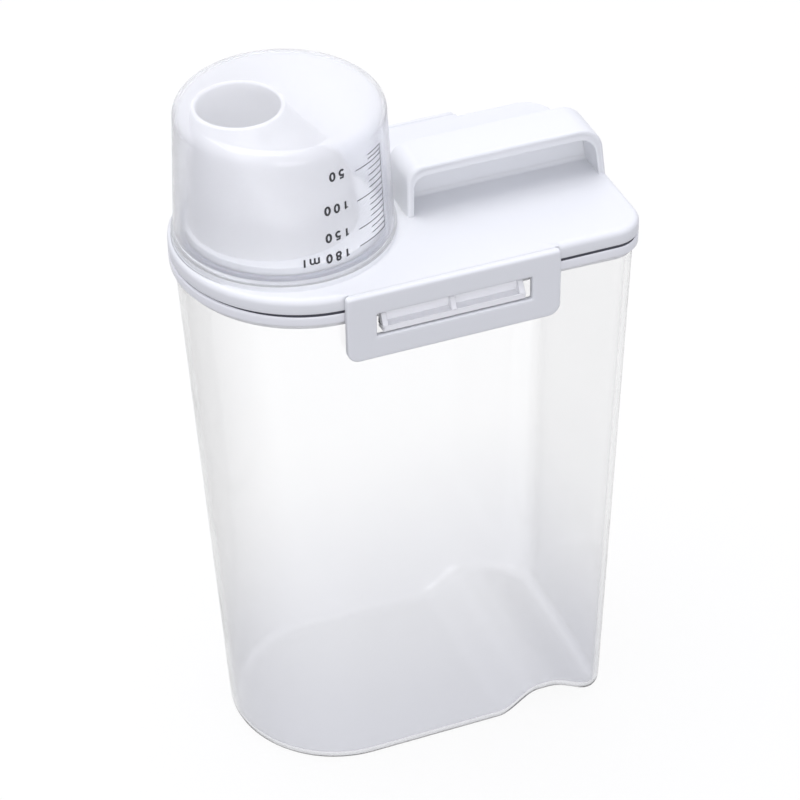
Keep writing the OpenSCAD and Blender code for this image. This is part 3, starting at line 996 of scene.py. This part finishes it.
def background_ray(tree):
    """1 for camera, glossy and transmission rays with no diffuse bounce before them, and 0 for the rest."""
    path = tree.nodes.new("ShaderNodeLightPath")
    first = tree.nodes.new("ShaderNodeMath")
    first.operation = "MAXIMUM"
    tree.links.new(path.outputs["Is Camera Ray"], first.inputs[0])
    tree.links.new(path.outputs["Is Glossy Ray"], first.inputs[1])
    second = tree.nodes.new("ShaderNodeMath")
    second.operation = "MAXIMUM"
    tree.links.new(first.outputs[0], second.inputs[0])
    tree.links.new(path.outputs["Is Transmission Ray"], second.inputs[1])
    direct = tree.nodes.new("ShaderNodeMath")
    direct.operation = "LESS_THAN"
    direct.inputs[1].default_value = 0.5
    tree.links.new(path.outputs["Diffuse Depth"], direct.inputs[0])
    both = tree.nodes.new("ShaderNodeMath")
    both.operation = "MULTIPLY"
    tree.links.new(second.outputs[0], both.inputs[0])
    tree.links.new(direct.outputs[0], both.inputs[1])
    return both.outputs[0]


FLOOR_GLOW = 0.9
FLOOR_SEEN = 0.95
FLOOR_BOUNCE = 0.2
FLOOR_DROP = 0.0003
FLOOR_SIZE = 6.0


def build_floor():
    """A wide pale floor: mostly white to the eye, and still diffuse enough to keep a soft shadow."""
    s, z = FLOOR_SIZE, -FLOOR_DROP
    corners = [(-s, -s, z), (s, -s, z), (s, s, z), (-s, s, z)]
    mesh = bpy.data.meshes.new("floor")
    mesh.from_pydata(corners, [], [[0, 1, 2, 3]])
    material = bpy.data.materials.new("pale_floor")
    material.use_nodes = True
    tree = material.node_tree
    tree.nodes.clear()
    out = tree.nodes.new("ShaderNodeOutputMaterial")
    blend = tree.nodes.new("ShaderNodeMixShader")
    diffuse = tree.nodes.new("ShaderNodeBsdfDiffuse")
    shade = tree.nodes.new("ShaderNodeMapRange")
    shade.inputs["To Min"].default_value = FLOOR_BOUNCE
    shade.inputs["To Max"].default_value = FLOOR_SEEN
    seen = background_ray(tree)
    tree.links.new(seen, shade.inputs["Value"])
    tree.links.new(shade.outputs["Result"], diffuse.inputs["Color"])
    glow = tree.nodes.new("ShaderNodeEmission")
    glow.inputs["Strength"].default_value = 1.0
    share = tree.nodes.new("ShaderNodeMath")
    share.operation = "MULTIPLY"
    share.inputs[1].default_value = FLOOR_GLOW
    tree.links.new(seen, share.inputs[0])
    tree.links.new(share.outputs[0], blend.inputs["Fac"])
    tree.links.new(diffuse.outputs[0], blend.inputs[1])
    tree.links.new(glow.outputs[0], blend.inputs[2])
    tree.links.new(blend.outputs[0], out.inputs["Surface"])
    mesh.materials.append(material)
    floor = bpy.data.objects.new("floor", mesh)
    bpy.context.scene.collection.objects.link(floor)


WORLD_LIGHT = (0.78, 0.785, 0.88, 1)
WORLD_SEEN = (1, 1, 1, 1)
OVERHEAD_LAMP = {"place": (-0.3, 0.15, 1.6), "aim": (0, 0, 0.15), "size": 1.2, "power": 10.5}
FRONT_LAMP = {"place": (-0.4, -2.0, 0.55), "aim": (0, 0, 0.2), "size": 1.2, "power": 10.5}


def build_world():
    """White to the eye and in reflections, softer as a light."""
    world = bpy.data.worlds.new("studio")
    world.use_nodes = True
    bpy.context.scene.world = world
    tree = world.node_tree
    light = tree.nodes["Background"]
    light.inputs["Color"].default_value = WORLD_LIGHT
    seen = tree.nodes.new("ShaderNodeBackground")
    seen.inputs["Color"].default_value = WORLD_SEEN
    blend = tree.nodes.new("ShaderNodeMixShader")
    tree.links.new(background_ray(tree), blend.inputs["Fac"])
    tree.links.new(light.outputs[0], blend.inputs[1])
    tree.links.new(seen.outputs[0], blend.inputs[2])
    tree.links.new(blend.outputs[0], tree.nodes["World Output"].inputs["Surface"])


def add_area(name, place, aim, size, power):
    """A soft square lamp at a place in metres, turned to its aim."""
    lamp = bpy.data.lights.new(name, "AREA")
    lamp.size = size
    lamp.energy = power
    obj = bpy.data.objects.new(name, lamp)
    obj.location = place
    obj.rotation_euler = (Vector(aim) - Vector(place)).to_track_quat("-Z", "Y").to_euler()
    bpy.context.scene.collection.objects.link(obj)


VIEW_AZIMUTH = -21.12
VIEW_ELEVATION = 36.89
VIEW_ROLL = -0.856
VIEW_TARGET = (0.00322, 0.0, 0.13453)
VIEW_DISTANCE = 1.1558
SENSOR = 36.0
FOCAL_SHARE = 3118.8 / 800


def build_camera():
    """The photograph's viewpoint: a direction, a distance and a slight roll about the line of sight."""
    az, el, roll = (math.radians(v) for v in (VIEW_AZIMUTH, VIEW_ELEVATION, VIEW_ROLL))
    back = Vector((math.sin(az) * math.cos(el), -math.cos(az) * math.cos(el), math.sin(el)))
    right = Vector((math.cos(az), math.sin(az), 0))
    up = back.cross(right)
    turned_right = math.cos(roll) * right + math.sin(roll) * up
    turned_up = back.cross(turned_right)
    data = bpy.data.cameras.new("camera")
    data.sensor_width = SENSOR
    data.lens = SENSOR * FOCAL_SHARE
    data.clip_end = 50
    camera = bpy.data.objects.new("camera", data)
    turn = Matrix((turned_right, turned_up, back)).transposed().to_4x4()
    camera.matrix_world = Matrix.Translation(Vector(VIEW_TARGET) + VIEW_DISTANCE * back) @ turn
    bpy.context.scene.collection.objects.link(camera)
    bpy.context.scene.camera = camera


def main():
    """Stage, camera, materials and every piece of the jar."""
    bpy.context.scene.view_settings.view_transform = "Standard"
    build_camera()
    build_world()
    build_floor()
    add_area("overhead", **OVERHEAD_LAMP)
    add_area("front", **FRONT_LAMP)
    white = white_plastic("white_plastic", LID_WHITE, through=0, scatter=0.12)
    # Lighter copy of the lid's white for the spout: painted light; the deep scatter lets light through its
    # thin walls
    spout_lit_white = white_plastic("spout_lit_white_plastic", SPOUT_LIT_WHITE, through=0.05, scatter=0.9, depth=0.006)
    body_clear = clear_plastic("container_clear", CLEAR_BODY, through=0.99, low=0.03, high=0.08, waves=0.15)
    # Painted shade on the clear body, toward its foot and at its edges
    add_tint(body_clear, CLEAR_SHADED_FOOT, z1=98, edge=0.55)
    rim_milky = clear_plastic("container_rim", MILKY_RIM, through=0.1, low=0.15, high=0.25, waves=0.1)
    # Catches in milky plastic with a whiter colour than the lid's, lifting them out of the slot's shade:
    # painted light
    lit_milky_catch = white_plastic("container_catch", CATCH_LIT_WHITE, through=0.04, scatter=0.12)
    cup_clear = clear_plastic("cup_clear", CLEAR_CUP, through=0.8, low=0.11, high=0.17, waves=0.1, ior=1.36)
    build_container(body_clear, rim_milky, lit_milky_catch)
    build_lid(white, spout_lit_white)
    # Painted shadow in the gap under the skirt: a thin dark ring
    build_joint(silicone("painted_gap_shade", GAP_SHADE_DARK))
    build_grip(white)
    build_latch("front_latch_flap", "front_latch", -1, white)
    build_latch("rear_latch_flap", "rear_latch", 1, white)
    build_hinge_web("front_hinge_web", -1, white)
    build_hinge_web("rear_hinge_web", 1, white)
    build_cup(cup_clear)
    build_seal(silicone("seal_grey", SEAL_GREY))
    build_scale(print_ink())
    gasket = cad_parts["lid_gasket"]
    gasket.data.materials.clear()
    gasket.data.materials.append(silicone("gasket_pale", GASKET_PALE))


main()
